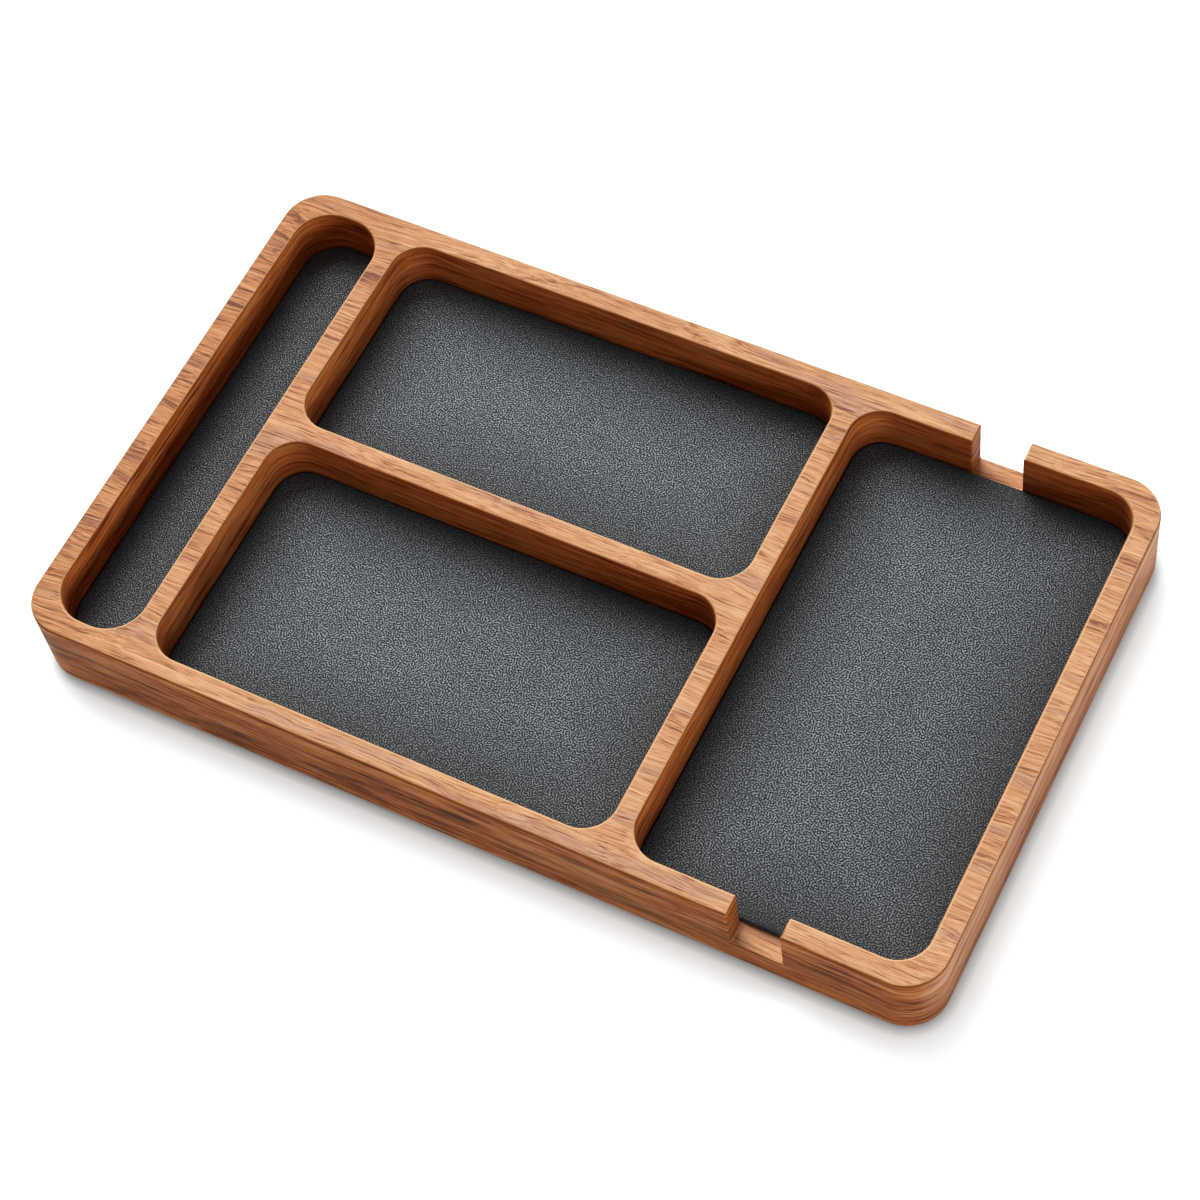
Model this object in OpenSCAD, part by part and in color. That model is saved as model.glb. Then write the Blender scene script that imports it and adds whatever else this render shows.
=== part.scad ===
// Desk organizer tray: one block of walnut, milled into four pockets, with a
// leather liner on a thin board in each pocket and four bumper feet below.
// The origin is on the desk surface, under the middle of the tray.
// +X runs to the right along the grain, +Y to the back and +Z up.

/* [Tray] */
// Length of the tray, left to right
tray_l = 320; // [290:1:420]
// Width of the tray, front to back
tray_w = 190; // [160:1:260]
// Height of the wooden body, without its feet
body_h = 31; // [26:0.5:45]
// Radius of the four outer corners, seen from above
corner_r = 14; // [6:0.5:20]
// Thickness of the outer walls
wall = 7.5; // [6:0.5:12]
// Thickness of the bars between the pockets
bar = 7.5; // [5:0.5:12]
// Round-over of the outer top edge
rim_round = 1; // [0.5:0.1:2]
// Round-over of the bottom edge
base_round = 2.5; // [1:0.1:4]

/* [Pockets] */
// Depth of the pockets, from the rim to the milled floor
pocket_depth = 19.5; // [12:0.5:22]
// Width of the pen slot on the left
pen_w = 30; // [26:0.5:40]
// Width of the phone pocket on the right
phone_w = 96.5; // [80:0.5:110]
// Front-to-back size of the rear middle pocket
rear_d = 79; // [50:0.5:105]
// Corner radius of the phone pocket and the two middle pockets
pocket_r = 11; // [6:0.5:14]
// Corner radius of the pen slot
pen_r = 13; // [6:0.5:13]
// Round-over of the pocket rims
pocket_round = 1; // [0.5:0.1:2]

/* [Cable notches] */
// Width of the notches through the front and back walls
notch_w = 17.5; // [10:0.5:30]
// Distance from the right end of the tray to the middle of the notches
notch_from_end = 57; // [40:0.5:70]
// Cove where a notch's floor meets its jaws
notch_cove = 0.8; // [0.4:0.1:1.5]
// Round-over of a notch's upright edges and of its outer sill
notch_round = 0.7; // [0.3:0.1:1]

/* [Liners] */
// Thickness of the leather
leather_t = 1.2; // [0.8:0.1:2]
// Thickness of the board that backs the leather
board_t = 1; // [0.6:0.1:2]
// Gap between a liner and its pocket's walls
liner_gap = 0.3; // [0.1:0.05:1]

/* [Feet] */
// Diameter of a bumper foot
foot_d = 14; // [8:0.5:20]
// How far the feet stand out below the wood
foot_proud = 1; // [0.5:0.1:2]
// Depth of the round seat that a foot is stuck into
seat_depth = 1; // [0.5:0.1:2]
// Gap round a foot in its seat
seat_gap = 0.3; // [0.1:0.05:0.6]
// Round-over of a foot's lower edge
foot_round = 0.7; // [0.3:0.1:1]
// Distance from the outer faces of the tray to the middle of a foot
foot_inset = 24; // [18:0.5:40]

/* [Hidden] */
$fn = 64;

// How far a cut runs past the face that it opens
over = 1;

rim_z = foot_proud + body_h;
floor_z = rim_z - pocket_depth;
inner_w = tray_w - 2 * wall;
middle_w = tray_l - 2 * wall - 2 * bar - pen_w - phone_w;
front_d = inner_w - bar - rear_d;
notch_x = tray_l / 2 - notch_from_end;

// Where the pockets' left and front sides lie
pen_x = wall - tray_l / 2;
middle_x = pen_x + pen_w + bar;
phone_x = middle_x + middle_w + bar;
front_y = wall - tray_w / 2;
rear_y = front_y + front_d + bar;

// One row a pocket: left side, front side, size along X, size along Y, corner radius
PEN = [pen_x, front_y, pen_w, inner_w, pen_r];
REAR = [middle_x, rear_y, middle_w, rear_d, pocket_r];
FRONT = [middle_x, front_y, middle_w, front_d, pocket_r];
PHONE = [phone_x, front_y, phone_w, inner_w, pocket_r];

WALNUT = "#a9683f";
LEATHER = "#3c4045";
BOARD = "#1c1a19";
RUBBER = "#2a2a2c";

// The sliver that a round-over takes off a square edge at the origin, with the
// wood on the -X -Y side. It runs past both faces of that edge.
module edge_sliver(r) {
    difference() {
        translate([-r, -r]) square(r + over);
        translate([-r, -r]) circle(r);
    }
}

// Sweeps a profile round a rectangle with rounded corners. The profile's x
// is the distance outwards from the corner's centre, and its y is the height.
module around(l, w, r) {
    for (turn = [0, 180]) rotate(turn) {
        translate([l / 2 - r, w / 2 - r, 0]) {
            rotate_extrude(angle = 90) children();
            rotate([90, 0, 0]) linear_extrude(w - 2 * r) children();
        }
        translate([r - l / 2, w / 2 - r, 0]) {
            rotate(90) rotate_extrude(angle = 90) children();
            rotate([90, 0, 90]) linear_extrude(l - 2 * r) children();
        }
    }
}

// The middle that a sweep leaves open
module core(l, w, r, h) {
    translate([r - l / 2, r - w / 2, 0]) cube([l - 2 * r, w - 2 * r, h]);
}

// The wooden block before it is milled, with its edges rounded
module blank() {
    translate([0, 0, foot_proud]) {
        around(tray_l, tray_w, corner_r) difference() {
            square([corner_r, body_h]);
            translate([corner_r, body_h]) edge_sliver(rim_round);
            translate([corner_r, 0]) mirror([0, 1]) edge_sliver(base_round);
        }
        core(tray_l, tray_w, corner_r, body_h);
    }
}

// What the cutter takes out for one pocket, with the round-over of its rim
module pocket_cut(p) {
    l = p[2];
    w = p[3];
    r = p[4];
    translate([p[0] + l / 2, p[1] + w / 2, floor_z]) {
        around(l, w, r) {
            square([r, pocket_depth + over]);
            translate([r, pocket_depth]) mirror([1, 0]) edge_sliver(pocket_round);
        }
        core(l, w, r, pocket_depth + over);
    }
}

// Half of a notch's section, from its middle to one jaw: a cove at the floor
// and a rounded edge at the top
module notch_half_section() {
    difference() {
        square([notch_w / 2, pocket_depth + over]);
        translate([notch_w / 2 - notch_cove, 0]) difference() {
            square(notch_cove);
            translate([0, notch_cove]) circle(notch_cove);
        }
    }
    translate([notch_w / 2, pocket_depth]) mirror([1, 0]) edge_sliver(pocket_round);
}

// What the cutter takes out for the front notch
module notch_cut() {
    outer_y = -tray_w / 2;
    translate([notch_x, outer_y, floor_z]) {
        for (side = [0, 1]) mirror([side, 0, 0]) {
            translate([0, wall + over, 0]) rotate([90, 0, 0])
                linear_extrude(wall + 2 * over) notch_half_section();
            for (y = [0, wall]) translate([notch_w / 2, y, 0])
                mirror([1, 0, 0]) mirror([0, y > 0 ? 0 : 1, 0])
                    linear_extrude(pocket_depth + over) edge_sliver(notch_round);
        }
        translate([-notch_w / 2, 0, 0]) rotate([90, 0, 90]) mirror([1, 0, 0])
            linear_extrude(notch_w) edge_sliver(notch_round);
    }
}

// Puts a foot, or the seat for one, under each corner of the tray
module at_foot(x_side, y_side) {
    translate([x_side * (tray_l / 2 - foot_inset), y_side * (tray_w / 2 - foot_inset), 0])
        children();
}

module tray_body() {
    color(WALNUT) difference() {
        blank();
        for (p = [PEN, REAR, FRONT, PHONE]) pocket_cut(p);
        for (side = [0, 1]) mirror([0, side, 0]) notch_cut();
        for (x = [-1, 1], y = [-1, 1]) at_foot(x, y)
            cylinder(h = foot_proud + seat_depth, d = foot_d + 2 * seat_gap);
    }
}

// A flat sheet cut to one pocket, with the same gap to the walls all round
module sheet(p, z, t) {
    l = p[2] - 2 * liner_gap;
    w = p[3] - 2 * liner_gap;
    r = p[4] - liner_gap;
    translate([p[0] + p[2] / 2, p[1] + p[3] / 2, z]) linear_extrude(t) {
        square([l - 2 * r, w], center = true);
        square([l, w - 2 * r], center = true);
        for (x = [-1, 1], y = [-1, 1])
            translate([x * (l / 2 - r), y * (w / 2 - r)]) circle(r);
    }
}

module board(p) {
    color(BOARD) sheet(p, floor_z, board_t);
}

module leather(p) {
    color(LEATHER) sheet(p, floor_z + board_t, leather_t);
}

// A round bumper with a flat sole and a rounded lower edge
module foot(x_side, y_side) {
    height = foot_proud + seat_depth;
    color(RUBBER) at_foot(x_side, y_side) rotate_extrude() difference() {
        square([foot_d / 2, height]);
        translate([foot_d / 2, 0]) mirror([0, 1]) edge_sliver(foot_round);
    }
}

tray_body();
board(PEN);  // pen_board
board(REAR);  // rear_board
board(FRONT);  // front_board
board(PHONE);  // phone_board
leather(PEN);  // pen_leather
leather(REAR);  // rear_leather
leather(FRONT);  // front_leather
leather(PHONE);  // phone_leather
foot(-1, -1);  // foot_front_left
foot(1, -1);  // foot_front_right
foot(-1, 1);  // foot_back_left
foot(1, 1);  // foot_back_right
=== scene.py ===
# %% [markdown]
# A milled walnut desk tray with grained leather liners.
# The tray's wooden body, its boards and its feet come from the CAD frame, where their
# shapes are exact. This lesson gives them their finishes, makes the leather liners as
# modelled sheets, and sets up a plain white studio round them.

# %% Load the fixed frame
import math

import bmesh
import bpy
from mathutils import Matrix, Vector, geometry, noise


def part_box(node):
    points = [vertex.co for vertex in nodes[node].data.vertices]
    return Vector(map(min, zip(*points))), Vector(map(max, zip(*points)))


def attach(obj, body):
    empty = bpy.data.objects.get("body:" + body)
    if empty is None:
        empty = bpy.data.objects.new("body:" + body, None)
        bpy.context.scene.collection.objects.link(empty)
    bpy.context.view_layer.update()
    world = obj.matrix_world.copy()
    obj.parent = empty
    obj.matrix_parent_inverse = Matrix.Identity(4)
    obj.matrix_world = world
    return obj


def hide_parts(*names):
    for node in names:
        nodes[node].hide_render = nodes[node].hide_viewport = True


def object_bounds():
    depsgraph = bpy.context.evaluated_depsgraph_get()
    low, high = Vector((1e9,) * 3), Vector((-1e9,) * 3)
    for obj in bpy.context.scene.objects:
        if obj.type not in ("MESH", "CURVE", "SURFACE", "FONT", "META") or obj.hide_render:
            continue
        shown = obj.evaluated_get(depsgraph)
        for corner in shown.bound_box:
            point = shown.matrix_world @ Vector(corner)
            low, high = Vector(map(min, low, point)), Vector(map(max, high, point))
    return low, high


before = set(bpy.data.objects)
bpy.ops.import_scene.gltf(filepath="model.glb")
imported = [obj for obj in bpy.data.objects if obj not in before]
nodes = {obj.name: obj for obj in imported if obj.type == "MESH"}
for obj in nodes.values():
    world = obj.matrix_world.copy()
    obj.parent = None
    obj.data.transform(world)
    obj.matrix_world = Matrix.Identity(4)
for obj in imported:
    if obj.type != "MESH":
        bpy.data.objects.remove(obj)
cad_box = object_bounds()
MM = 0.001
cad_low, cad_high = cad_box
tray_size = cad_high - cad_low
print("tray in mm:", [round(side / MM, 1) for side in tray_size])

# %% [markdown]
# Colours are picked as a designer writes them, as sRGB hex values, but a renderer adds
# up light, so it needs linear values. One function turns the one into the other.
# Material trees are long to write by hand, so one small function adds a node, sets it
# up and links it. An input that is given a socket is linked to it, one that is given a
# node is linked to that node's first output, and any other value is a constant.

# %% Two helpers for materials
def linear(hex_colour):
    """Turns an sRGB hex value into a linear colour with alpha."""
    channels = [int(hex_colour[i:i + 2], 16) / 255 for i in (1, 3, 5)]
    bent = [c / 12.92 if c <= 0.04045 else ((c + 0.055) / 1.055) ** 2.4 for c in channels]
    return (*bent, 1.0)


def add(tree, kind, inputs=None, stops=None, **settings):
    """Adds one shader node, with its settings, its inputs and, on a ramp, its stops."""
    node = tree.nodes.new("ShaderNode" + kind)
    for name, value in settings.items():
        setattr(node, name, value)
    for key, value in (inputs or {}).items():
        if isinstance(value, bpy.types.Node):
            value = value.outputs[0]
        if isinstance(value, bpy.types.NodeSocket):
            tree.links.new(value, node.inputs[key])
        else:
            node.inputs[key].default_value = value
    if stops:
        elements = node.color_ramp.elements
        while len(elements) < len(stops):
            elements.new(0.5)
        for element, (place, colour) in zip(elements, stops):
            element.position = place
            element.color = linear(colour)
    return node


def new_material(name):
    """An empty material, its node tree, and its object coordinates in millimetres."""
    material = bpy.data.materials.new(name)
    material.use_nodes = True
    tree = material.node_tree
    tree.nodes.clear()
    place = add(tree, "TexCoord")
    in_mm = add(tree, "VectorMath", {0: place.outputs["Object"], "Scale": 1 / MM}, operation="SCALE")
    return material, tree, in_mm.outputs[0]


print("middle grey as linear light:", round(linear("#808080")[0], 3))

# %% [markdown]
# The body is oiled walnut, milled from one board. Wood could be painted with a picture
# on each face, but then the lines would break at every edge. A solid board is the same
# all through, so its figure is worked out from the place of each point in the board,
# and the rims, the bars and the notch floors all show parts of one figure.
# The grain runs along X. The growth layers lie almost flat, with the heart of the tree
# far below the board. No board grows straight, so two noises bend the grain: a slow one
# by a few millimetres, and a quick one that gives each streak its small waves.

# %% Walnut: grain of the flat faces
LAYER_MM = 2.6
HEART_Y_MM = -34.0
HEART_Z_MM = -420.0
BENDS = [
    {"length_mm": (70, 26, 22), "reach_mm": (0, 9.0, 8.0), "detail": 1.0},
    {"length_mm": (14, 6, 6), "reach_mm": (0, 2.0, 1.2), "detail": 2.0},
]

walnut, tree, place_mm = new_material("oiled_milled_walnut")

grain = place_mm
for bend in BENDS:
    bend_place = add(tree, "VectorMath", {0: place_mm, 1: bend["length_mm"]}, operation="DIVIDE")
    curve = add(tree, "TexNoise", {"Vector": bend_place, "Scale": 1.0, "Detail": bend["detail"]})
    centred = add(tree, "VectorMath", {0: curve.outputs["Color"], 1: (0.5, 0.5, 0.5)}, operation="SUBTRACT")
    shift_mm = add(tree, "VectorMath", {0: centred, 1: bend["reach_mm"]}, operation="MULTIPLY")
    grain = add(tree, "VectorMath", {0: grain, 1: shift_mm}, operation="ADD")
print("walnut: growth layers", LAYER_MM, "mm thick")

# %% [markdown]
# A tray cut from one board would show end grain on its two ends. The photographed tray
# doesn't: its streaks follow every wall and go on round the corners. So upright faces
# get a grain of their own. Its first way is along the wall, which is x + y on all of
# them, and its height is the real height, swayed by a slow noise.

# %% Walnut: grain of the upright faces
SWAY_LENGTH_MM = (55, 75, 30)
SWAY_MM = 6.0

part = add(tree, "SeparateXYZ", {0: place_mm})
x_mm, y_mm, z_mm = (part.outputs[axis] for axis in "XYZ")
along_wall = add(tree, "Math", {0: x_mm, 1: y_mm}, operation="ADD")
other_way = add(tree, "Math", {0: x_mm, 1: y_mm}, operation="SUBTRACT")
wall_place = add(tree, "CombineXYZ", {0: along_wall, 1: other_way, 2: z_mm})
sway_place = add(tree, "VectorMath", {0: wall_place, 1: SWAY_LENGTH_MM}, operation="DIVIDE")
sway = add(tree, "TexNoise", {"Vector": sway_place, "Scale": 1.0, "Detail": 1.0})
sway_mm = add(tree, "Math", {0: sway, 1: SWAY_MM, 2: -SWAY_MM / 2}, operation="MULTIPLY_ADD")
sway_up = add(tree, "CombineXYZ", {2: sway_mm})
wall_grain = add(tree, "VectorMath", {0: wall_place, 1: sway_up}, operation="ADD")
print("walnut: streaks of the walls rise and fall by up to", SWAY_MM / 2, "mm")

# %% [markdown]
# A growth layer starts light and ends in a thin dark line, so its darkness is a
# saw-tooth of the depth in the wood: the distance from the heart on flat faces, and the
# height on upright ones. In the ramp, white is the darkest wood. No two years are
# alike, so a slow noise along that same depth makes some layers dark and others faint.

# %% Walnut: growth layers
YEAR_STOPS = [(0.0, "#8a8a8a"), (0.25, "#202020"), (0.75, "#606060"), (0.95, "#ffffff")]
YEAR_PACE = 0.45
FAINT_YEAR = 0.36
STRONG_YEAR = 0.66

from_heart = add(tree, "VectorMath", {0: grain, 1: (0, HEART_Y_MM, HEART_Z_MM)}, operation="SUBTRACT")
across = add(tree, "VectorMath", {0: from_heart, 1: (0, 1, 1)}, operation="MULTIPLY")
radius = add(tree, "VectorMath", {0: across}, operation="LENGTH")
wall_height = add(tree, "SeparateXYZ", {0: wall_grain})
depths = {"flat": radius.outputs["Value"], "upright": wall_height.outputs["Z"]}
layer_tones = {}
for run, depth in depths.items():
    years = add(tree, "Math", {0: depth, 1: 1 / LAYER_MM}, operation="MULTIPLY")
    year_part = add(tree, "Math", {0: years}, operation="FRACT")
    year_line = add(tree, "ValToRGB", {0: year_part}, stops=YEAR_STOPS)
    year_mood = add(
        tree, "TexNoise", {"W": years, "Scale": YEAR_PACE, "Detail": 2.0, "Roughness": 0.6},
        noise_dimensions="1D",
    )
    year_share = add(
        tree, "MapRange", {"Value": year_mood, "From Min": FAINT_YEAR, "From Max": STRONG_YEAR},
        interpolation_type="SMOOTHSTEP",
    )
    layer_tones[run] = add(tree, "Math", {0: year_line, 1: year_share}, operation="MULTIPLY")
print("walnut: growth layers in the height of a wall:", round(tray_size.z / MM / LAYER_MM))

# %% [markdown]
# Fibres and pores are long and thin, so the same noise is stretched: each place is
# divided by the length, the width and the height of one streak. On upright faces the
# first two are both lengths, because a wall runs through x + y and x - y alike, and a
# little distortion keeps their lines from looking ruled.
# Walnut's pores are about 0.3 mm wide. They are drawn a little wider, to show.

# %% Walnut: streaks, fibres and pores
RUNS = {
    "flat": {
        "clouds": (80, 8, 8),
        "streaks": (45, 2.4, 2.2),
        "fibres": (28, 0.7, 0.7),
        "pores": (14, 0.42, 0.42),
    },
    "upright": {
        "clouds": (110, 90, 9),
        "streaks": (76, 100, 4.2),
        "fibres": (26, 36, 1.1),
        "pores": (13, 18, 0.7),
    },
}
DISTORTION = {"flat": 0.0, "upright": 0.35}
figure = {}
for run, place in (("flat", grain), ("upright", wall_grain)):
    for kind, size_mm in RUNS[run].items():
        scaled = add(tree, "VectorMath", {0: place, 1: size_mm}, operation="DIVIDE")
        figure[run, kind] = add(
            tree, "TexNoise",
            {
                "Vector": scaled,
                "Scale": 1.0,
                "Detail": 2.0,
                "Roughness": 0.6,
                "Distortion": DISTORTION[run],
            },
        )
for kind, size_mm in RUNS["flat"].items():
    print("walnut:", kind, size_mm[0], "mm long,", size_mm[1], "mm wide")

# %% [markdown]
# One value, the tone, gathers them all. Streaks, fibres and hairs, which are the pores'
# noise as it is, go both ways from the middle. The growth layers and the dark strokes,
# which are the peaks of that same noise, only darken. The left end of the top is a
# little darker in the photograph.

# %% Walnut: tone
AMOUNTS = {
    "flat": {"streaks": 0.4, "fibres": 1.7, "hairs": 2.8, "layers": -0.55, "strokes": -0.5, "left": -0.1},
    "upright": {"streaks": 1.5, "fibres": 2.2, "hairs": 1.2, "layers": -0.35, "strokes": -0.35},
}
BASE_TONE = {"flat": 0.68, "upright": 0.66}
PORE_EDGE = (0.56, 0.64)
LEFT_REACH_MM = 65
END_X_MM = tray_size.x / 2 / MM
END_Y_MM = tray_size.y / 2 / MM

left_end = add(
    tree, "MapRange", {"Value": x_mm, "From Min": LEFT_REACH_MM - END_X_MM, "From Max": -END_X_MM}
)
tones = {}
pores = {}
for run, amounts in AMOUNTS.items():
    pores[run] = add(
        tree, "MapRange",
        {"Value": figure[run, "pores"], "From Min": PORE_EDGE[0], "From Max": PORE_EDGE[1]},
        interpolation_type="SMOOTHSTEP",
    )
    sources = {
        "streaks": figure[run, "streaks"],
        "fibres": figure[run, "fibres"],
        "hairs": figure[run, "pores"],
        "layers": layer_tones[run],
        "strokes": pores[run],
        "left": left_end,
    }
    tone = BASE_TONE[run] - 0.5 * (amounts["streaks"] + amounts["fibres"] + amounts["hairs"])
    for kind, amount in amounts.items():
        tone = add(tree, "Math", {0: sources[kind], 1: amount, 2: tone}, operation="MULTIPLY_ADD")
    tones[run] = tone
print("walnut: tone where every noise is even:", BASE_TONE)

# %% [markdown]
# In the photograph the wood is paler on the top and the ends of the tray than on its
# long walls and in its pockets. One picture can't tell how much of that is light, and
# here part of it is put in the wood's colour, so it stays under other lamps. There
# will be two ramps, and this share says which one a place takes. It comes from the way
# that the surface faces, in the object's own axes. On flat faces it is whole, but for
# the left end of the top, which is a little richer.

# %% Walnut: pale flat faces
TOP_WAY = (0.05, 0.4, 1.0)
FLAT_TILT = (0.6, 0.95)
LEFT_PALE_MM = 60
LEFT_PALE = 0.6

surface = add(tree, "TexCoord")
normal = surface.outputs["Normal"]
facing = add(tree, "SeparateXYZ", {0: normal})
tilt = add(tree, "VectorMath", {0: normal, 1: TOP_WAY}, operation="DOT_PRODUCT")
flatness = add(tree, "Math", {0: tilt.outputs["Value"]}, operation="ABSOLUTE")
flat_share = add(
    tree, "MapRange", {"Value": flatness, "From Min": FLAT_TILT[0], "From Max": FLAT_TILT[1]},
    interpolation_type="SMOOTHSTEP",
)
left_pale = add(
    tree, "MapRange",
    {"Value": x_mm, "From Min": -END_X_MM, "From Max": LEFT_PALE_MM - END_X_MM, "To Min": LEFT_PALE},
)
flat_pale = add(tree, "Math", {0: flat_share, 1: left_pale}, operation="MULTIPLY")
print("walnut: the top is richer within", LEFT_PALE_MM, "mm of its left end")

# %% [markdown]
# An end is the outer few millimetres of the tray where it faces along X, and it gets richer towards its
# foot, which is painted shade. The photograph doesn't show the faces that look to the back left, and they
# are taken to be as pale as the end that it shows. The palest of the three shares counts.

# %% Walnut: pale ends
END_TURN = (0.4, 1.0)
END_FACE_MM = (6, 4)
END_HEIGHT_MM = (7, 22)
END_PALE = (0.2, 0.74)
BACK_LEFT_WAY = (-0.6, 0.8, 0.0)
BACK_TURN = (0.1, 0.7)
BACK_PALE = 0.8

endness = add(tree, "Math", {0: facing.outputs["X"]}, operation="ABSOLUTE")
end_facing = add(
    tree, "MapRange", {"Value": endness, "From Min": END_TURN[0], "From Max": END_TURN[1]},
    interpolation_type="SMOOTHSTEP",
)
from_middle = add(tree, "Math", {0: x_mm}, operation="ABSOLUTE")
near_end = add(
    tree, "MapRange",
    {
        "Value": from_middle,
        "From Min": END_X_MM - END_FACE_MM[0],
        "From Max": END_X_MM - END_FACE_MM[1],
    },
)
# Painted shade: the end is richer towards its foot.
end_height = add(
    tree, "MapRange",
    {
        "Value": z_mm,
        "From Min": END_HEIGHT_MM[0],
        "From Max": END_HEIGHT_MM[1],
        "To Min": END_PALE[0],
        "To Max": END_PALE[1],
    },
)
end_share = add(tree, "Math", {0: end_facing, 1: near_end}, operation="MULTIPLY")
end_share = add(tree, "Math", {0: end_share, 1: end_height}, operation="MULTIPLY")

back_way = add(tree, "VectorMath", {0: normal, 1: BACK_LEFT_WAY}, operation="DOT_PRODUCT")
back_facing = add(
    tree, "MapRange",
    {"Value": back_way.outputs["Value"], "From Min": BACK_TURN[0], "From Max": BACK_TURN[1]},
    interpolation_type="SMOOTHSTEP",
)
back_pale = add(tree, "Math", {0: back_facing, 1: BACK_PALE}, operation="MULTIPLY")
pale_share = add(tree, "Math", {0: flat_pale, 1: end_share}, operation="MAXIMUM")
pale_share = add(tree, "Math", {0: pale_share, 1: back_pale}, operation="MAXIMUM")
print("walnut: share of the pale ramp at the back left:", BACK_PALE)

# %% [markdown]
# The pocket walls are told from the outer walls by their place: they lie further in
# than the wall is thick. Their figure is a little calmer than that of the outer walls.

# %% Walnut: pocket walls
WALL_MM = 7.5
ROUND_MM = 1.0
CALM = 0.25
CALM_TONE = 0.58

from_centre = add(tree, "Math", {0: y_mm}, operation="ABSOLUTE")
inner_face_mm = END_Y_MM - WALL_MM
inside = add(
    tree, "MapRange",
    {"Value": from_centre, "From Min": inner_face_mm + ROUND_MM, "From Max": inner_face_mm},
)
in_pocket = add(tree, "Math", {0: 1.0, 1: near_end}, operation="SUBTRACT")
in_pocket = add(tree, "Math", {0: in_pocket, 1: inside}, operation="MULTIPLY")
upright_share = add(tree, "Math", {0: 1.0, 1: flat_share}, operation="SUBTRACT")
pocket_wall = add(tree, "Math", {0: in_pocket, 1: upright_share}, operation="MULTIPLY")
calm_share = add(tree, "Math", {0: pocket_wall, 1: CALM}, operation="MULTIPLY")
calm_tone = add(tree, "Mix", {0: calm_share, 2: tones["upright"], 3: CALM_TONE}, data_type="FLOAT")
mixed_tone = add(tree, "Mix", {0: flat_share, 2: calm_tone, 3: tones["flat"]}, data_type="FLOAT")
mixed_pores = add(tree, "Mix", {0: flat_share, 2: pores["upright"], 3: pores["flat"]}, data_type="FLOAT")
print("walnut: the long pocket walls are", round(inner_face_mm, 1), "mm from the middle")

# %% [markdown]
# A ramp turns the tone into colour. It does more than a darker grey would: dark wood is
# also redder.

# %% Walnut: colours
PALE_STOPS = [(0.0, "#93614a"), (0.25, "#c2845e"), (0.5, "#e1a275"), (0.75, "#edb384"), (1.0, "#f6c89c")]
RICH_STOPS = [(0.0, "#4a2313"), (0.25, "#894723"), (0.5, "#bf6a33"), (0.75, "#d48348"), (1.0, "#e39d61")]

pale = add(tree, "ValToRGB", {0: mixed_tone}, stops=PALE_STOPS)
rich = add(tree, "ValToRGB", {0: mixed_tone}, stops=RICH_STOPS)
ground = add(tree, "Mix", {0: pale_share, 6: rich, 7: pale}, data_type="RGBA")
print("walnut: colours in each ramp:", len(PALE_STOPS))

# %% [markdown]
# In the photograph each kind of wall has its own shade by height. The long outer walls
# are lighter at the rim, and again at the foot, near the white floor. The ends are
# darker at the foot. Some of this is surely light and shadow, but it is matched here
# in the wood's colour, so it stays under other lamps. Each of SHADES is two heights in
# millimetres and the shades there, and a long outer wall is the sum of its two.

# %% Walnut: shade of the outer walls
SHADES = {
    "front_foot": (4, 12, 0.34, 0.0),
    "front": (18, 31, 0.86, 1.05),
    "end": (8, 24, 0.67, 0.87),
}

shades = {}
for wall, (low_mm, high_mm, low_shade, high_shade) in SHADES.items():
    shades[wall] = add(
        tree, "MapRange",
        {"Value": z_mm, "From Min": low_mm, "From Max": high_mm, "To Min": low_shade, "To Max": high_shade},
    )
front_shade = add(tree, "Math", {0: shades["front_foot"], 1: shades["front"]}, operation="ADD")
outer_shade = add(tree, "Mix", {0: endness, 2: front_shade, 3: shades["end"]}, data_type="FLOAT")
print("walnut: shades of the outer walls:", SHADES)

# %% [markdown]
# The pocket walls get painted shade, which darkens them towards the leather, but less so in the pen slot,
# and less on the long walls than on those that face along X. High up they get a little painted light. The
# lamps shade them too, and this painted shade adds what the photograph shows beyond that.

# %% Walnut: painted shade of the pocket walls
POCKET_HEIGHT_MM = (14, 30)
POCKET_TOP_SHADE = 1.12
POCKET_LOW_SHADE = 0.34
PEN_LOW_SHADE = 0.55
PEN_SLOT_END_MM = (-125, -118)
LONG_WALL_SHARE = 0.45

pocket_height = add(
    tree, "MapRange",
    {"Value": z_mm, "From Min": POCKET_HEIGHT_MM[0], "From Max": POCKET_HEIGHT_MM[1]},
    interpolation_type="SMOOTHSTEP",
)
pocket_low = add(
    tree, "MapRange",
    {
        "Value": x_mm,
        "From Min": PEN_SLOT_END_MM[0],
        "From Max": PEN_SLOT_END_MM[1],
        "To Min": PEN_LOW_SHADE,
        "To Max": POCKET_LOW_SHADE,
    },
)
# Painted shade: darker towards the leather, a little lighter high up.
side_shade = add(tree, "Mix", {0: pocket_height, 2: pocket_low, 3: POCKET_TOP_SHADE}, data_type="FLOAT")
side_share = add(
    tree, "Math", {0: endness, 1: 1 - LONG_WALL_SHARE, 2: LONG_WALL_SHARE}, operation="MULTIPLY_ADD"
)
inner_shade = add(tree, "Mix", {0: side_share, 2: 1.0, 3: side_shade}, data_type="FLOAT")
wall_shade = add(tree, "Mix", {0: in_pocket, 2: outer_shade, 3: inner_shade}, data_type="FLOAT")
shade = add(tree, "Mix", {0: upright_share, 2: 1.0, 3: wall_shade}, data_type="FLOAT")
shaded = add(tree, "VectorMath", {0: ground.outputs[2], "Scale": shade}, operation="SCALE")
print("walnut: shade at the foot of a pocket:", POCKET_LOW_SHADE, "and of the pen slot:", PEN_LOW_SHADE)

# %% [markdown]
# The painted shade of the pocket walls is also redder than the outer walls, as light bounced between wooden
# walls is. The red is fainter high up on the walls that face along X, and there is none on those that face
# the back left, towards the key lamp.

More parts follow.
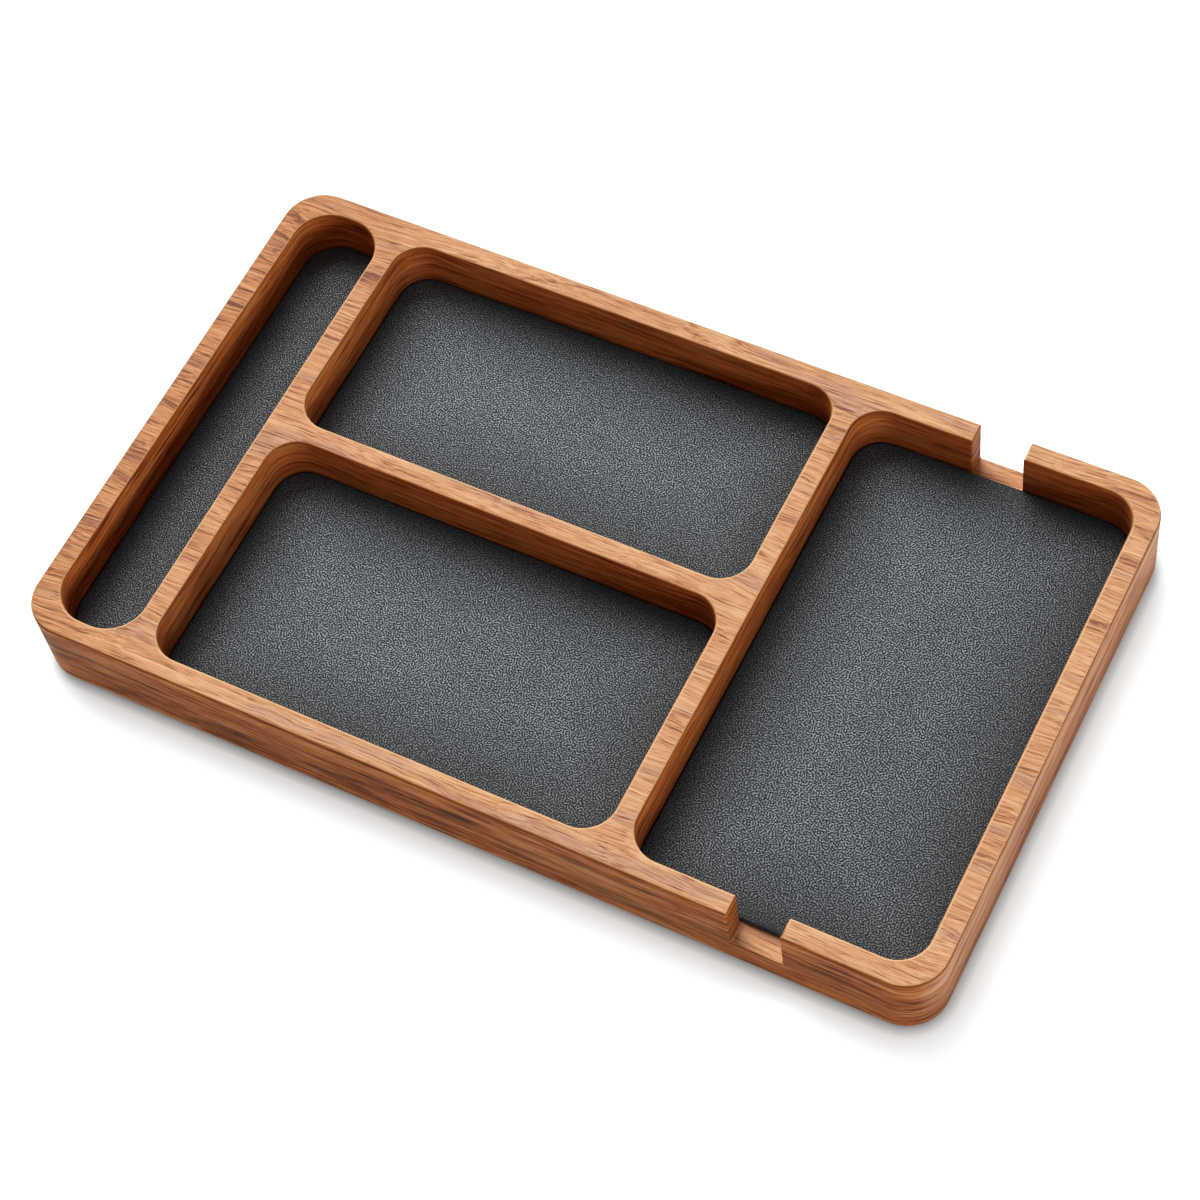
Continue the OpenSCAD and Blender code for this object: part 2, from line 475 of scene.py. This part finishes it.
# %% Walnut: red of the painted shade in the pockets
POCKET_SHADE_TINT = (1, 0.83, 0.68, 1)
NO_TINT = (1, 1, 1, 1)
HIGH_FADE = 0.6

# Redder painted shade on the pocket walls, none on those that face the lamp.
high_side = add(tree, "Math", {0: pocket_height, 1: endness}, operation="MULTIPLY")
shade_tint_share = add(tree, "Math", {0: high_side, 1: -HIGH_FADE, 2: 1.0}, operation="MULTIPLY_ADD")
shade_tint_share = add(tree, "Math", {0: shade_tint_share, 1: pocket_wall}, operation="MULTIPLY")
front_facing = add(tree, "Math", {0: 1.0, 1: back_facing}, operation="SUBTRACT")
shade_tint_share = add(tree, "Math", {0: shade_tint_share, 1: front_facing}, operation="MULTIPLY")
tint = add(tree, "Mix", {0: shade_tint_share, 6: NO_TINT, 7: POCKET_SHADE_TINT}, data_type="RGBA")
tinted = add(tree, "VectorMath", {0: shaded, 1: tint.outputs[2]}, operation="MULTIPLY")
print("walnut: tint of the pocket walls:", POCKET_SHADE_TINT[:3])

# %% [markdown]
# Walnut has broad soft bands of a cool mauve-grey, and the photograph shows them across
# the rims and the walls. They come from the slowest noise, and are darker on the
# upright faces.

# %% Walnut: mauve-grey bands
WALL_BAND = (0.62, 0.66, 0.8, 1)
TOP_BAND = (0.75, 0.8, 0.96, 1)
WALL_DEPTH = 0.8
TOP_DEPTH = 0.7
BAND_EDGE = (0.54, 0.66)

clouds = add(
    tree, "Mix", {0: flat_share, 2: figure["upright", "clouds"], 3: figure["flat", "clouds"]},
    data_type="FLOAT",
)
cloud_depth = add(tree, "MapRange", {"Value": flat_share, "To Min": WALL_DEPTH, "To Max": TOP_DEPTH})
cloud_share = add(
    tree, "MapRange",
    {"Value": clouds, "From Min": BAND_EDGE[0], "From Max": BAND_EDGE[1], "To Max": cloud_depth},
    interpolation_type="SMOOTHSTEP",
)
cloud_colour = add(tree, "Mix", {0: flat_share, 6: WALL_BAND, 7: TOP_BAND}, data_type="RGBA")
cloud_tint = add(tree, "Mix", {0: cloud_share, 6: NO_TINT, 7: cloud_colour.outputs[2]}, data_type="RGBA")
clouded = add(tree, "VectorMath", {0: tinted, 1: cloud_tint.outputs[2]}, operation="MULTIPLY")
print("walnut: bands", RUNS["flat"]["clouds"][1], "mm wide")

# %% [markdown]
# The milled edges are rounded to a radius of 1 mm. On the pockets' edges a thin pale line is a painted
# highlight, which is strongest where the edge faces the back left, towards the key lamp. A rounded edge is
# found by the way it faces: how far it rises, and how far it leans to the lit side. The pockets' edges are
# told from the outer ones by their distance from the outside. Each row of a table gives what is measured,
# where a share of it starts and where it is full.

# %% Walnut: painted highlight on the pockets' edges
RIM_MIDDLE_MM = (3, 4)
LIT_WAY = (-0.35, 0.45, 1.0)
PAINTED_HIGHLIGHT = "#ffd09a"
BACK_RIM = 0.6
FRONT_RIM = 0.3

lean = add(tree, "VectorMath", {0: normal, 1: LIT_WAY}, operation="DOT_PRODUCT")
lean = lean.outputs["Value"]
rises = facing.outputs["Z"]
rim_table = {
    "start": (rises, 0.998, 0.95, "SMOOTHSTEP"),
    "lit": (lean, 0.42, 0.68, "SMOOTHSTEP"),
    "end": (rises, 0.15, 0.4, "LINEAR"),
    "front": (lean, 1.02, 0.94, "LINEAR"),
    "inner_x": (from_middle, END_X_MM - RIM_MIDDLE_MM[0], END_X_MM - RIM_MIDDLE_MM[1], "LINEAR"),
    "inner_y": (from_centre, END_Y_MM - RIM_MIDDLE_MM[0], END_Y_MM - RIM_MIDDLE_MM[1], "LINEAR"),
}
rim = {}
for share, (measure, start, full, easing) in rim_table.items():
    rim[share] = add(
        tree, "MapRange", {"Value": measure, "From Min": start, "From Max": full},
        interpolation_type=easing,
    )
inner_rim = add(tree, "Math", {0: rim["inner_x"], 1: rim["inner_y"]}, operation="MULTIPLY")
rim_back = add(tree, "Math", {0: inner_rim, 1: BACK_RIM}, operation="MULTIPLY")
rim_strength = add(tree, "Mix", {0: rim["front"], 2: rim_back, 3: FRONT_RIM}, data_type="FLOAT")
rim_highlight = rim["start"]
for limit in (rim["lit"], rim["end"], rim_strength):
    rim_highlight = add(tree, "Math", {0: rim_highlight, 1: limit}, operation="MULTIPLY")
# Painted highlight on the rounded edges of the pockets.
highlighted = add(tree, "Mix", {0: rim_highlight, 6: clouded, 7: linear(PAINTED_HIGHLIGHT)}, data_type="RGBA")
print("walnut: burnished edges", PAINTED_HIGHLIGHT)

# %% [markdown]
# The photograph shows a thin brown line along the outer edges instead. Where a rounded edge turns away from
# the lamp side it is painted shade, and it is a little fainter on the outer edges that face the back left.
# The rows of this table also give how strong the share gets.

# %% Walnut: brown line of the outer edges
EDGE_SHADE_BROWN = "#a4572a"

edge_table = {
    "rise": (rises, 0.1, 0.45, 1.0),
    "fall": (lean, 0.55, 0.35, 0.75),
    "back": (rises, 0.96, 0.8, 0.6),
}
edge = {}
for share, (measure, start, full, most) in edge_table.items():
    edge[share] = add(
        tree, "MapRange", {"Value": measure, "From Min": start, "From Max": full, "To Max": most},
        interpolation_type="SMOOTHSTEP",
    )
front_share = add(tree, "Math", {0: edge["rise"], 1: edge["fall"]}, operation="MULTIPLY")
not_back = add(tree, "Math", {0: inner_rim, 1: rim["front"]}, operation="MAXIMUM")
outer_back = add(tree, "Math", {0: 1.0, 1: not_back}, operation="SUBTRACT")
back_share = add(tree, "Math", {0: outer_back, 1: edge["back"]}, operation="MULTIPLY")
edge_share = add(tree, "Math", {0: front_share, 1: back_share}, operation="MAXIMUM")
# Painted shade on the outer edges that turn away from the lamp.
wood_colour = add(
    tree, "Mix", {0: edge_share, 6: highlighted.outputs[2], 7: linear(EDGE_SHADE_BROWN)}, data_type="RGBA"
)
print("walnut: nodes for the colour", len(tree.nodes))

# %% [markdown]
# Oil fills the wood and leaves only a faint shine. The pores stay open, so they are
# rougher and lie a few hundredths of a millimetre lower.

# %% Walnut: surface
rough = add(tree, "MapRange", {"Value": mixed_pores, "To Min": 0.5, "To Max": 0.7})
relief_pores = add(tree, "Math", {0: mixed_pores, 1: -0.8}, operation="MULTIPLY")
relief = add(tree, "Math", {0: mixed_tone, 1: 0.4, 2: relief_pores}, operation="MULTIPLY_ADD")
wood_bump = add(tree, "Bump", {"Height": relief, "Strength": 0.25, "Distance": 0.04 * MM})
wood_shader = add(
    tree, "BsdfPrincipled",
    {
        "Base Color": wood_colour.outputs[2],
        "Roughness": rough,
        "IOR": 1.46,
        "Specular IOR Level": 0.05,
        "Normal": wood_bump,
    },
)
add(tree, "OutputMaterial", {"Surface": wood_shader})
nodes["tray_body"].material_slots[0].material = walnut
print("walnut: nodes", len(tree.nodes))

# %% [markdown]
# The liners are full-grain leather, dyed slate grey and pressed with a fine worm-like
# pebble. A pebble could be made from cells, but the real one is a maze of short
# ridges, all about as wide as each other. Gabor noise has just that look: it holds one
# spacing and turns freely. Two noises bend the ridges and break them up.
# The ridges are 0.85 mm apart and up to 0.2 mm high, too fine to model, so they are a
# bump, while the sheet's own outline, rounded upper edge and slight waves are
# geometry.

# %% Leather: ridges
RIDGE_MM = 0.85
DRIFT_LENGTH_MM = 2.2
DRIFT_MM = 0.9
BREAK_MM = 0.7
BREAK_DEPTH = 0.5
VALLEY_TO_TOP = (0.67, 0.89)

leather, tree, place_mm = new_material("pebbled_slate_leather")
drift_place = add(tree, "VectorMath", {0: place_mm, "Scale": 1 / DRIFT_LENGTH_MM}, operation="SCALE")
drift = add(tree, "TexNoise", {"Vector": drift_place, "Scale": 1.0, "Detail": 1.0})
drift_centred = add(
    tree, "VectorMath", {0: drift.outputs["Color"], 1: (0.5, 0.5, 0.5)}, operation="SUBTRACT"
)
drift_mm = add(tree, "VectorMath", {0: drift_centred, "Scale": DRIFT_MM}, operation="SCALE")
drifted = add(tree, "VectorMath", {0: place_mm, 1: drift_mm}, operation="ADD")
ridge_place = add(tree, "VectorMath", {0: drifted, "Scale": 1 / RIDGE_MM}, operation="SCALE")
ridges = add(
    tree, "TexGabor",
    {"Vector": ridge_place, "Scale": 0.5, "Frequency": 2.0, "Anisotropy": 0.0},
    gabor_type="2D",
)
break_place = add(tree, "VectorMath", {0: place_mm, "Scale": 1 / BREAK_MM}, operation="SCALE")
breaks = add(tree, "TexNoise", {"Vector": break_place, "Scale": 1.0, "Detail": 1.0})
broken = add(tree, "Math", {0: breaks, 1: BREAK_DEPTH, 2: ridges}, operation="MULTIPLY_ADD")
ridge_height = add(
    tree, "MapRange", {"Value": broken, "From Min": VALLEY_TO_TOP[0], "From Max": VALLEY_TO_TOP[1]},
    interpolation_type="SMOOTHSTEP",
)
print("leather: ridges", RIDGE_MM, "mm apart")

# %% [markdown]
# Dye gathers in the valleys, and a hide takes it unevenly, over a centimetre or so. The pale tops of the
# ridges are partly that dye and partly a painted highlight, and the dark valleys partly painted shade. The
# photograph shows each liner darker towards its edges. Some of that is surely shadow of the walls, and what
# the lamps don't give of it is painted shade in the leather's colour. The tops of the ridges are smoother
# than the valleys and shine a little.

# %% Leather: dye, painted shade and surface
HIDE_TONE_MM = 14
HIDE_TONES = (0.73, 0.89)
EDGE_SHADE_MM = 34
EDGE_SHADE_CURVE = 0.58
VALLEY_DYE_AND_SHADE = "#070811"
RIDGE_DYE_AND_HIGHLIGHT = "#a9b2b9"
VALLEY_ROUGH = 0.72
TOP_ROUGH = 0.46

hide_place = add(tree, "VectorMath", {0: place_mm, "Scale": 1 / HIDE_TONE_MM}, operation="SCALE")
hide = add(tree, "TexNoise", {"Vector": hide_place, "Scale": 1.0, "Detail": 3.0, "Roughness": 0.6})
hide_tone = add(
    tree, "MapRange",
    {
        "Value": hide,
        "From Min": 0.3,
        "From Max": 0.7,
        "To Min": HIDE_TONES[0],
        "To Max": HIDE_TONES[1],
    },
)
# From valleys to ridge tops: dye, with painted shade in the valleys and a painted highlight on the tops.
dye_and_highlight = add(tree, "Mix", {0: ridge_height, 6: linear(VALLEY_DYE_AND_SHADE), 7: linear(RIDGE_DYE_AND_HIGHLIGHT)}, data_type="RGBA")
# Painted shade that darkens the liner towards its edges.
from_edge = add(tree, "Attribute", attribute_name="from_edge_mm")
edge_part = add(tree, "MapRange", {"Value": from_edge.outputs["Fac"], "From Max": EDGE_SHADE_MM})
liner_edge_shade = add(tree, "Math", {0: edge_part, 1: EDGE_SHADE_CURVE}, operation="POWER")
dye_and_shade_share = add(tree, "Math", {0: hide_tone, 1: liner_edge_shade}, operation="MULTIPLY")
dyed_and_shaded = add(tree, "VectorMath", {0: dye_and_highlight.outputs[2], "Scale": dye_and_shade_share}, operation="SCALE")
leather_rough = add(
    tree, "MapRange", {"Value": ridge_height, "To Min": VALLEY_ROUGH, "To Max": TOP_ROUGH}
)
leather_bump = add(tree, "Bump", {"Height": ridge_height, "Strength": 1.0, "Distance": 0.2 * MM})
leather_shader = add(
    tree, "BsdfPrincipled",
    {
        "Base Color": dyed_and_shaded,
        "Roughness": leather_rough,
        "IOR": 1.48,
        "Specular IOR Level": 0.35,
        "Normal": leather_bump,
    },
)
add(tree, "OutputMaterial", {"Surface": leather_shader})
print("leather: nodes", len(tree.nodes))

# %% [markdown]
# A cut leather edge shows the fibres of the hide. At the front notch the photograph
# shows it black, so it is taken to be dyed through, and it reads as a dark matte line
# between the leather and the wood. Its fibres are drawn 0.5 mm long and 0.2 mm thick.

# %% Cut leather edge
EDGE_FIBRE_MM = (0.5, 0.5, 0.2)

cut_edge, tree, place_mm = new_material("dyed_cut_leather_edge")
edge_place = add(tree, "VectorMath", {0: place_mm, 1: EDGE_FIBRE_MM}, operation="DIVIDE")
edge_fibres = add(tree, "TexNoise", {"Vector": edge_place, "Scale": 1.0, "Detail": 3.0})
edge_colour = add(tree, "ValToRGB", {0: edge_fibres}, stops=[(0.3, "#0c0c0e"), (0.7, "#1d1e22")])
edge_bump = add(tree, "Bump", {"Height": edge_fibres, "Strength": 0.5, "Distance": 0.05 * MM})
edge_shader = add(
    tree, "BsdfPrincipled",
    {
        "Base Color": edge_colour,
        "Roughness": 0.85,
        "IOR": 1.48,
        "Normal": edge_bump,
    },
)
add(tree, "OutputMaterial", {"Surface": edge_shader})
print("cut edge: nodes", len(tree.nodes))

# %% [markdown]
# Each liner is a sheet with a rounded upper edge, laid on its board. A rounded box
# with a bevel would do for its outline, but not for soft waves. So it is built by
# hand: in rings from the outline inwards, which gives the rounded edge clean quads,
# and then a grid of triangles for the top. The outline of a ring comes first.

# %% Outline of a rounded rectangle
CORNER_STEPS = 14
SIDE_STEP = 2.5 * MM


def rounded_outline(low, high, radius):
    """Points round a rectangle with rounded corners, anticlockwise."""
    corners = [
        (high.x - radius, high.y - radius, 0),
        (low.x + radius, high.y - radius, 1),
        (low.x + radius, low.y + radius, 2),
        (high.x - radius, low.y + radius, 3),
    ]
    points = []
    for i, (x, y, quarter) in enumerate(corners):
        for step in range(CORNER_STEPS + 1):
            angle = (quarter + step / CORNER_STEPS) * math.pi / 2
            points.append(Vector((x + radius * math.cos(angle), y + radius * math.sin(angle))))
        next_x, next_y, next_quarter = corners[(i + 1) % 4]
        angle = next_quarter * math.pi / 2
        end = Vector((next_x + radius * math.cos(angle), next_y + radius * math.sin(angle)))
        start = points[-1]
        count = max(2, round((end - start).length / SIDE_STEP))
        points += [start.lerp(end, k / count) for k in range(1, count)]
    return points


print("corners have", CORNER_STEPS, "steps, sides a point every", SIDE_STEP / MM, "mm")


# %% [markdown]
# A ring is an outline at some inset and height. The first two make the upright side, the
# next ones turn over the edge by steps, and the last lies a little further in, on the
# top. The lowest ring also closes the underside.

# %% Underside and rounded edge of a liner
EDGE_ROUND = 0.55 * MM
EDGE_TURNS = (20, 40, 60, 75, 90)
RIM_INSET = EDGE_ROUND + 1.2 * MM


def edge_rings(mesh, low, high, radius):
    """Adds a liner's underside, sides and rounded edge, and gives its innermost ring."""
    levels = [(0, low.z), (0, high.z - EDGE_ROUND)]
    for turn in EDGE_TURNS:
        angle = math.radians(turn)
        levels.append((EDGE_ROUND * (1 - math.cos(angle)), high.z - EDGE_ROUND * (1 - math.sin(angle))))
    levels.append((RIM_INSET, high.z))
    rings = []
    for inset, height in levels:
        shrink = Vector((inset, inset, 0))
        outline = rounded_outline(low + shrink, high - shrink, radius - inset)
        rings.append([mesh.verts.new((p.x, p.y, height)) for p in outline])
    for lower, upper in zip(rings, rings[1:]):
        for i in range(len(lower)):
            j = (i + 1) % len(lower)
            mesh.faces.new((lower[i], lower[j], upper[j], upper[i]))
    mesh.faces.new(rings[0][::-1])
    return rings[-1]


print("rounded edge of", EDGE_ROUND / MM, "mm in", len(EDGE_TURNS), "steps")

# %% [markdown]
# The waves come from a smooth noise of the place on the hide. They are under a tenth
# of a millimetre, which is what a glued sheet keeps, and they fade out at the edge.

# %% Waves of a liner
WAVE_HEIGHT = 0.07 * MM
WAVE_LENGTH = 24 * MM
WAVE_FADE = 4 * MM
WAVE_DROP = 0.35


def wave_at(x, y, inset):
    """Height of the soft waves at a place that lies inset from the edge."""
    fade = min(1, max(0, inset / WAVE_FADE))
    return WAVE_HEIGHT * fade * (noise.noise(Vector((x, y, 0)) / WAVE_LENGTH) - WAVE_DROP)


print("waves of", WAVE_LENGTH / MM, "mm, height", WAVE_HEIGHT / MM, "mm")

# %% [markdown]
# The top is an even grid of points inside the last ring, joined to it by a Delaunay
# triangulation, which keeps the ring as its border and makes no thin triangles.

# %% Top of a liner
GRID_STEP = 2.5 * MM
GRID_INSET = RIM_INSET + 0.6 * GRID_STEP
CORNER_SPARE = 0.2 * GRID_STEP


def fill_top(mesh, rim, low, high, radius):
    """Fills the innermost ring with triangles that carry the waves."""
    width = high.x - low.x - 2 * GRID_INSET
    length = high.y - low.y - 2 * GRID_INSET
    columns = round(width / GRID_STEP)
    rows = round(length / GRID_STEP)
    grid_points = []
    for column in range(columns + 1):
        for row in range(rows + 1):
            x = low.x + GRID_INSET + width * column / columns
            y = low.y + GRID_INSET + length * row / rows
            past_x = max(low.x + radius - x, x - high.x + radius, 0)
            past_y = max(low.y + radius - y, y - high.y + radius, 0)
            if math.hypot(past_x, past_y) < radius - GRID_INSET + CORNER_SPARE:
                grid_points.append(Vector((x, y)))
    rim_points = [Vector((v.co.x, v.co.y)) for v in rim]
    border = [(i, (i + 1) % len(rim)) for i in range(len(rim))]
    filled = geometry.delaunay_2d_cdt(rim_points + grid_points, border, [], 1, 1e-7)
    points, _, triangles = filled[:3]
    verts = list(rim)
    for point in points[len(rim):]:
        inset = min(point.x - low.x, high.x - point.x, point.y - low.y, high.y - point.y)
        verts.append(mesh.verts.new((point.x, point.y, high.z + wave_at(point.x, point.y, inset))))
    for corners in triangles:
        mesh.faces.new([verts[i] for i in corners])


print("grid of the top:", GRID_STEP / MM, "mm")

# %% [markdown]
# A liner is all of these, shaded smooth but for the sharp edge of its underside. What faces up is leather
# and the rest is cut edge. Each point also keeps its distance from the edge, which the painted edge shade
# of the leather uses. Then the liner is attached to the root body, the CAD solid that it stands for is
# hidden, and its flat size is printed.

# %% A leather liner
SHARP = math.radians(60)
FACES_UP = 0.05


def leather_liner(name, node, radius):
    """Makes the leather sheet that stands for a CAD node, and lays it on its board."""
    low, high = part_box(node)
    mesh = bmesh.new()
    rim = edge_rings(mesh, low, high, radius)
    fill_top(mesh, rim, low, high, radius)
    mesh.normal_update()
    for face in mesh.faces:
        face.smooth = True
        face.material_index = 0 if face.normal.z > FACES_UP else 1
    for edge in mesh.edges:
        if len(edge.link_faces) == 2 and edge.calc_face_angle() > SHARP:
            edge.smooth = False
    data = bpy.data.meshes.new(name)
    mesh.to_mesh(data)
    mesh.free()
    from_edge = data.attributes.new("from_edge_mm", "FLOAT", "POINT")
    for vert, value in zip(data.vertices, from_edge.data):
        x, y = vert.co.x, vert.co.y
        value.value = min(x - low.x, high.x - x, y - low.y, high.y - y) / MM
    data.materials.append(leather)
    data.materials.append(cut_edge)
    piece = bpy.data.objects.new(name, data)
    bpy.context.scene.collection.objects.link(piece)

    width, length = sorted((high.x - low.x, high.y - low.y))
    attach(piece, "root")
    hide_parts(node)
    flat_mm = [round(side / MM, 1) for side in (width, length)]
    print(name, "flat size in mm:", flat_mm, "faces", len(data.polygons))


# %% [markdown]
# Each pocket gets its own liner, cut 0.3 mm smaller than the pocket on every side. The
# corners of the pen slot are rounder than those of the other pockets, and so are the
# corners of its liner.

# %% Lay the four liners
LINER_GAP = 0.3 * MM
POCKET_CORNERS = {"pen": 13 * MM, "rear": 11 * MM, "front": 11 * MM, "phone": 11 * MM}
for pocket, corner in POCKET_CORNERS.items():
    leather_liner(pocket + "_liner", pocket + "_leather", corner - LINER_GAP)

# %% [markdown]
# The black edge at the front notch is thicker than leather alone, so a thin fibreboard,
# dyed black through, is taken to lie under each leather. Only its edge can be seen, in
# the notches, as a dark matte line. Pressed fibre has no grain, only flecks, drawn
# 0.6 mm long and 0.15 mm thick.

# %% Board material
FLECK_MM = (0.6, 0.6, 0.15)

fibreboard, tree, place_mm = new_material("black_dyed_fibreboard")
fleck_place = add(tree, "VectorMath", {0: place_mm, 1: FLECK_MM}, operation="DIVIDE")
flecks = add(tree, "TexNoise", {"Vector": fleck_place, "Scale": 1.0, "Detail": 4.0, "Roughness": 0.7})
board_colour = add(
    tree, "ValToRGB", {0: flecks}, stops=[(0.35, "#0d0c0b"), (0.6, "#191716"), (0.8, "#2b2826")]
)
board_bump = add(tree, "Bump", {"Height": flecks, "Strength": 0.4, "Distance": 0.05 * MM})
board_shader = add(
    tree, "BsdfPrincipled",
    {
        "Base Color": board_colour,
        "Roughness": 0.9,
        "IOR": 1.45,
        "Normal": board_bump,
    },
)
add(tree, "OutputMaterial", {"Surface": board_shader})
for pocket in POCKET_CORNERS:
    nodes[pocket + "_board"].material_slots[0].material = fibreboard
print("fibreboard: nodes", len(tree.nodes))

# %% [markdown]
# The photograph hides the feet. They are taken to be moulded rubber bumpers, as small
# wooden trays often have. Moulded rubber is matte, with a fine spark-eroded texture of
# about 0.2 mm from its mould and a faint dusty bloom.

# %% Rubber material
SPARK_MM = 0.2
BLOOM_MM = 4

rubber, tree, place_mm = new_material("moulded_black_rubber")
spark_place = add(tree, "VectorMath", {0: place_mm, "Scale": 1 / SPARK_MM}, operation="SCALE")
spark = add(tree, "TexNoise", {"Vector": spark_place, "Scale": 1.0, "Detail": 2.0})
bloom_place = add(tree, "VectorMath", {0: place_mm, "Scale": 1 / BLOOM_MM}, operation="SCALE")
bloom = add(tree, "TexNoise", {"Vector": bloom_place, "Scale": 1.0, "Detail": 3.0})
rubber_colour = add(tree, "ValToRGB", {0: bloom}, stops=[(0.3, "#242426"), (0.7, "#303033")])
rubber_bump = add(tree, "Bump", {"Height": spark, "Strength": 0.4, "Distance": 0.03 * MM})
rubber_shader = add(
    tree, "BsdfPrincipled",
    {
        "Base Color": rubber_colour,
        "Roughness": 0.75,
        "IOR": 1.52,
        "Normal": rubber_bump,
    },
)
add(tree, "OutputMaterial", {"Surface": rubber_shader})
for side in ("front_left", "front_right", "back_left", "back_right"):
    nodes["foot_" + side].material_slots[0].material = rubber
print("rubber: nodes", len(tree.nodes))

# %% [markdown]
# The tray stands on a seamless sheet of matte white paper. It could be lit until it is
# white, but that would wash out the tray. Instead, rays from the camera, a gloss or a
# glass see the paper with a glow of its own, so it reads as white and still keeps the
# tray's shadow. All other rays meet plain paper. Paper is darkest where something
# almost touches it, so the glow is dimmed close to the tray by ambient occlusion,
# once for the soft shade and once for the thin dark line at the foot of the walls.

# %% White floor
FLOOR_SIDE = 6.0
SHADE_REACH = 13 * MM
CONTACT_REACH = 4 * MM
GLOW = 0.9
PAPER = "#fafafa"
PAPER_IN_GLOW = "#c1c9cb"
OTHER_SEEN_RAYS = ("Is Glossy Ray", "Is Transmission Ray")

floor_paper, tree, _ = new_material("white_backdrop_paper")
paths = add(tree, "LightPath")
seen = paths.outputs["Is Camera Ray"]
for ray in OTHER_SEEN_RAYS:
    seen = add(tree, "Math", {0: seen, 1: paths.outputs[ray]}, operation="MAXIMUM")
paper = add(tree, "BsdfDiffuse", {"Color": linear(PAPER)})
nearness = add(tree, "AmbientOcclusion", {"Distance": SHADE_REACH}, samples=8)
contact = add(tree, "AmbientOcclusion", {"Distance": CONTACT_REACH}, samples=8)
openness = add(tree, "Math", {0: nearness.outputs["AO"], 1: contact.outputs["AO"]}, operation="MULTIPLY")
glow = add(tree, "Emission", {"Color": openness, "Strength": GLOW})
shaded_paper = add(tree, "BsdfDiffuse", {"Color": linear(PAPER_IN_GLOW)})
bright_paper = add(tree, "AddShader", {0: shaded_paper, 1: glow})
floor_mix = add(tree, "MixShader", {0: seen, 1: paper, 2: bright_paper})
add(tree, "OutputMaterial", {"Surface": floor_mix})

floor_mesh = bmesh.new()
bmesh.ops.create_grid(floor_mesh, x_segments=8, y_segments=8, size=FLOOR_SIDE / 2)
floor_data = bpy.data.meshes.new("floor")
floor_mesh.to_mesh(floor_data)
floor_mesh.free()
floor_data.materials.append(floor_paper)
floor = bpy.data.objects.new("floor", floor_data)
bpy.context.scene.collection.objects.link(floor)
floor.location.z = cad_low.z
print("floor:", FLOOR_SIDE, "m square, at height", floor.location.z)

# %% [markdown]
# One large softbox hangs 6 m away at the back left, so shadows fall softly to the
# front right and the walls shade the leather below them. A small dim box, low at the
# right, lifts the end of the tray. The world is white to the camera, to gloss and to
# glass, and gives every other ray a faint fill.

# %% Light
FILL = 0.06
WHITE = linear("#ffffff")

world = bpy.data.worlds.new("studio")
bpy.context.scene.world = world
world.use_nodes = True
tree = world.node_tree
tree.nodes.clear()
paths = add(tree, "LightPath")
seen = paths.outputs["Is Camera Ray"]
for ray in OTHER_SEEN_RAYS:
    seen = add(tree, "Math", {0: seen, 1: paths.outputs[ray]}, operation="MAXIMUM")
fill = add(tree, "Background", {"Color": WHITE, "Strength": FILL})
white = add(tree, "Background", {"Color": WHITE, "Strength": 1.0})
world_mix = add(tree, "MixShader", {0: seen, 1: fill, 2: white})
add(tree, "OutputWorld", {"Surface": world_mix})


def softbox(name, azimuth, elevation, distance, width, height, power):
    """Adds a lamp that faces the tray. Azimuth 0 is +X and 90 is the back."""
    a = math.radians(azimuth)
    e = math.radians(elevation)
    direction = Vector((math.cos(a) * math.cos(e), math.sin(a) * math.cos(e), math.sin(e)))
    data = bpy.data.lights.new(name, "AREA")
    data.shape = "RECTANGLE"
    data.size = width
    data.size_y = height
    data.energy = power
    lamp = bpy.data.objects.new(name, data)
    bpy.context.scene.collection.objects.link(lamp)
    lamp.location = direction * distance
    lamp.rotation_mode = "QUATERNION"
    lamp.rotation_quaternion = direction.to_track_quat("Z", "Y")
    print(name, "at", distance, "m, power", power, "W")


softbox("key_softbox", azimuth=135, elevation=47, distance=6.0, width=4.4, height=4.4, power=440)
softbox("end_softbox", azimuth=-15, elevation=15, distance=2.0, width=1.6, height=0.4, power=14)

# %% [markdown]
# The camera stands where the photograph was taken: high over the front right, with a
# long lens and some roll. Its place was solved from the straight edges of the tray.
# The colours are shown as they are, with no film look.

# %% Camera
PICTURE_SIDE_PX = 1200
FOCAL_PX = 2996.6
SENSOR_MM = 36
CAMERA_TURN = math.radians(36.278)
CAMERA_RISE = math.radians(58.978)
CAMERA_ROLL = math.radians(-10.832)
CAMERA_DISTANCE = 982.6 * MM
CAMERA_TARGET = Vector((-0.56, 2.19, 0)) * MM

camera_data = bpy.data.cameras.new("camera")
camera_data.sensor_width = SENSOR_MM
camera_data.lens = FOCAL_PX / PICTURE_SIDE_PX * SENSOR_MM
camera = bpy.data.objects.new("camera", camera_data)
bpy.context.scene.collection.objects.link(camera)
back = Vector((
    math.sin(CAMERA_TURN) * math.cos(CAMERA_RISE),
    -math.cos(CAMERA_TURN) * math.cos(CAMERA_RISE),
    math.sin(CAMERA_RISE),
))
level_right = Vector((0, 0, 1)).cross(back).normalized()
level_up = back.cross(level_right)
right = level_right * math.cos(CAMERA_ROLL) + level_up * math.sin(CAMERA_ROLL)
up = level_up * math.cos(CAMERA_ROLL) - level_right * math.sin(CAMERA_ROLL)
turn = Matrix((right, up, back)).transposed().to_4x4()
camera.matrix_world = Matrix.Translation(CAMERA_TARGET + back * CAMERA_DISTANCE) @ turn
bpy.context.scene.camera = camera
bpy.context.scene.view_settings.view_transform = "Standard"
print("lens in mm:", round(camera_data.lens, 1))
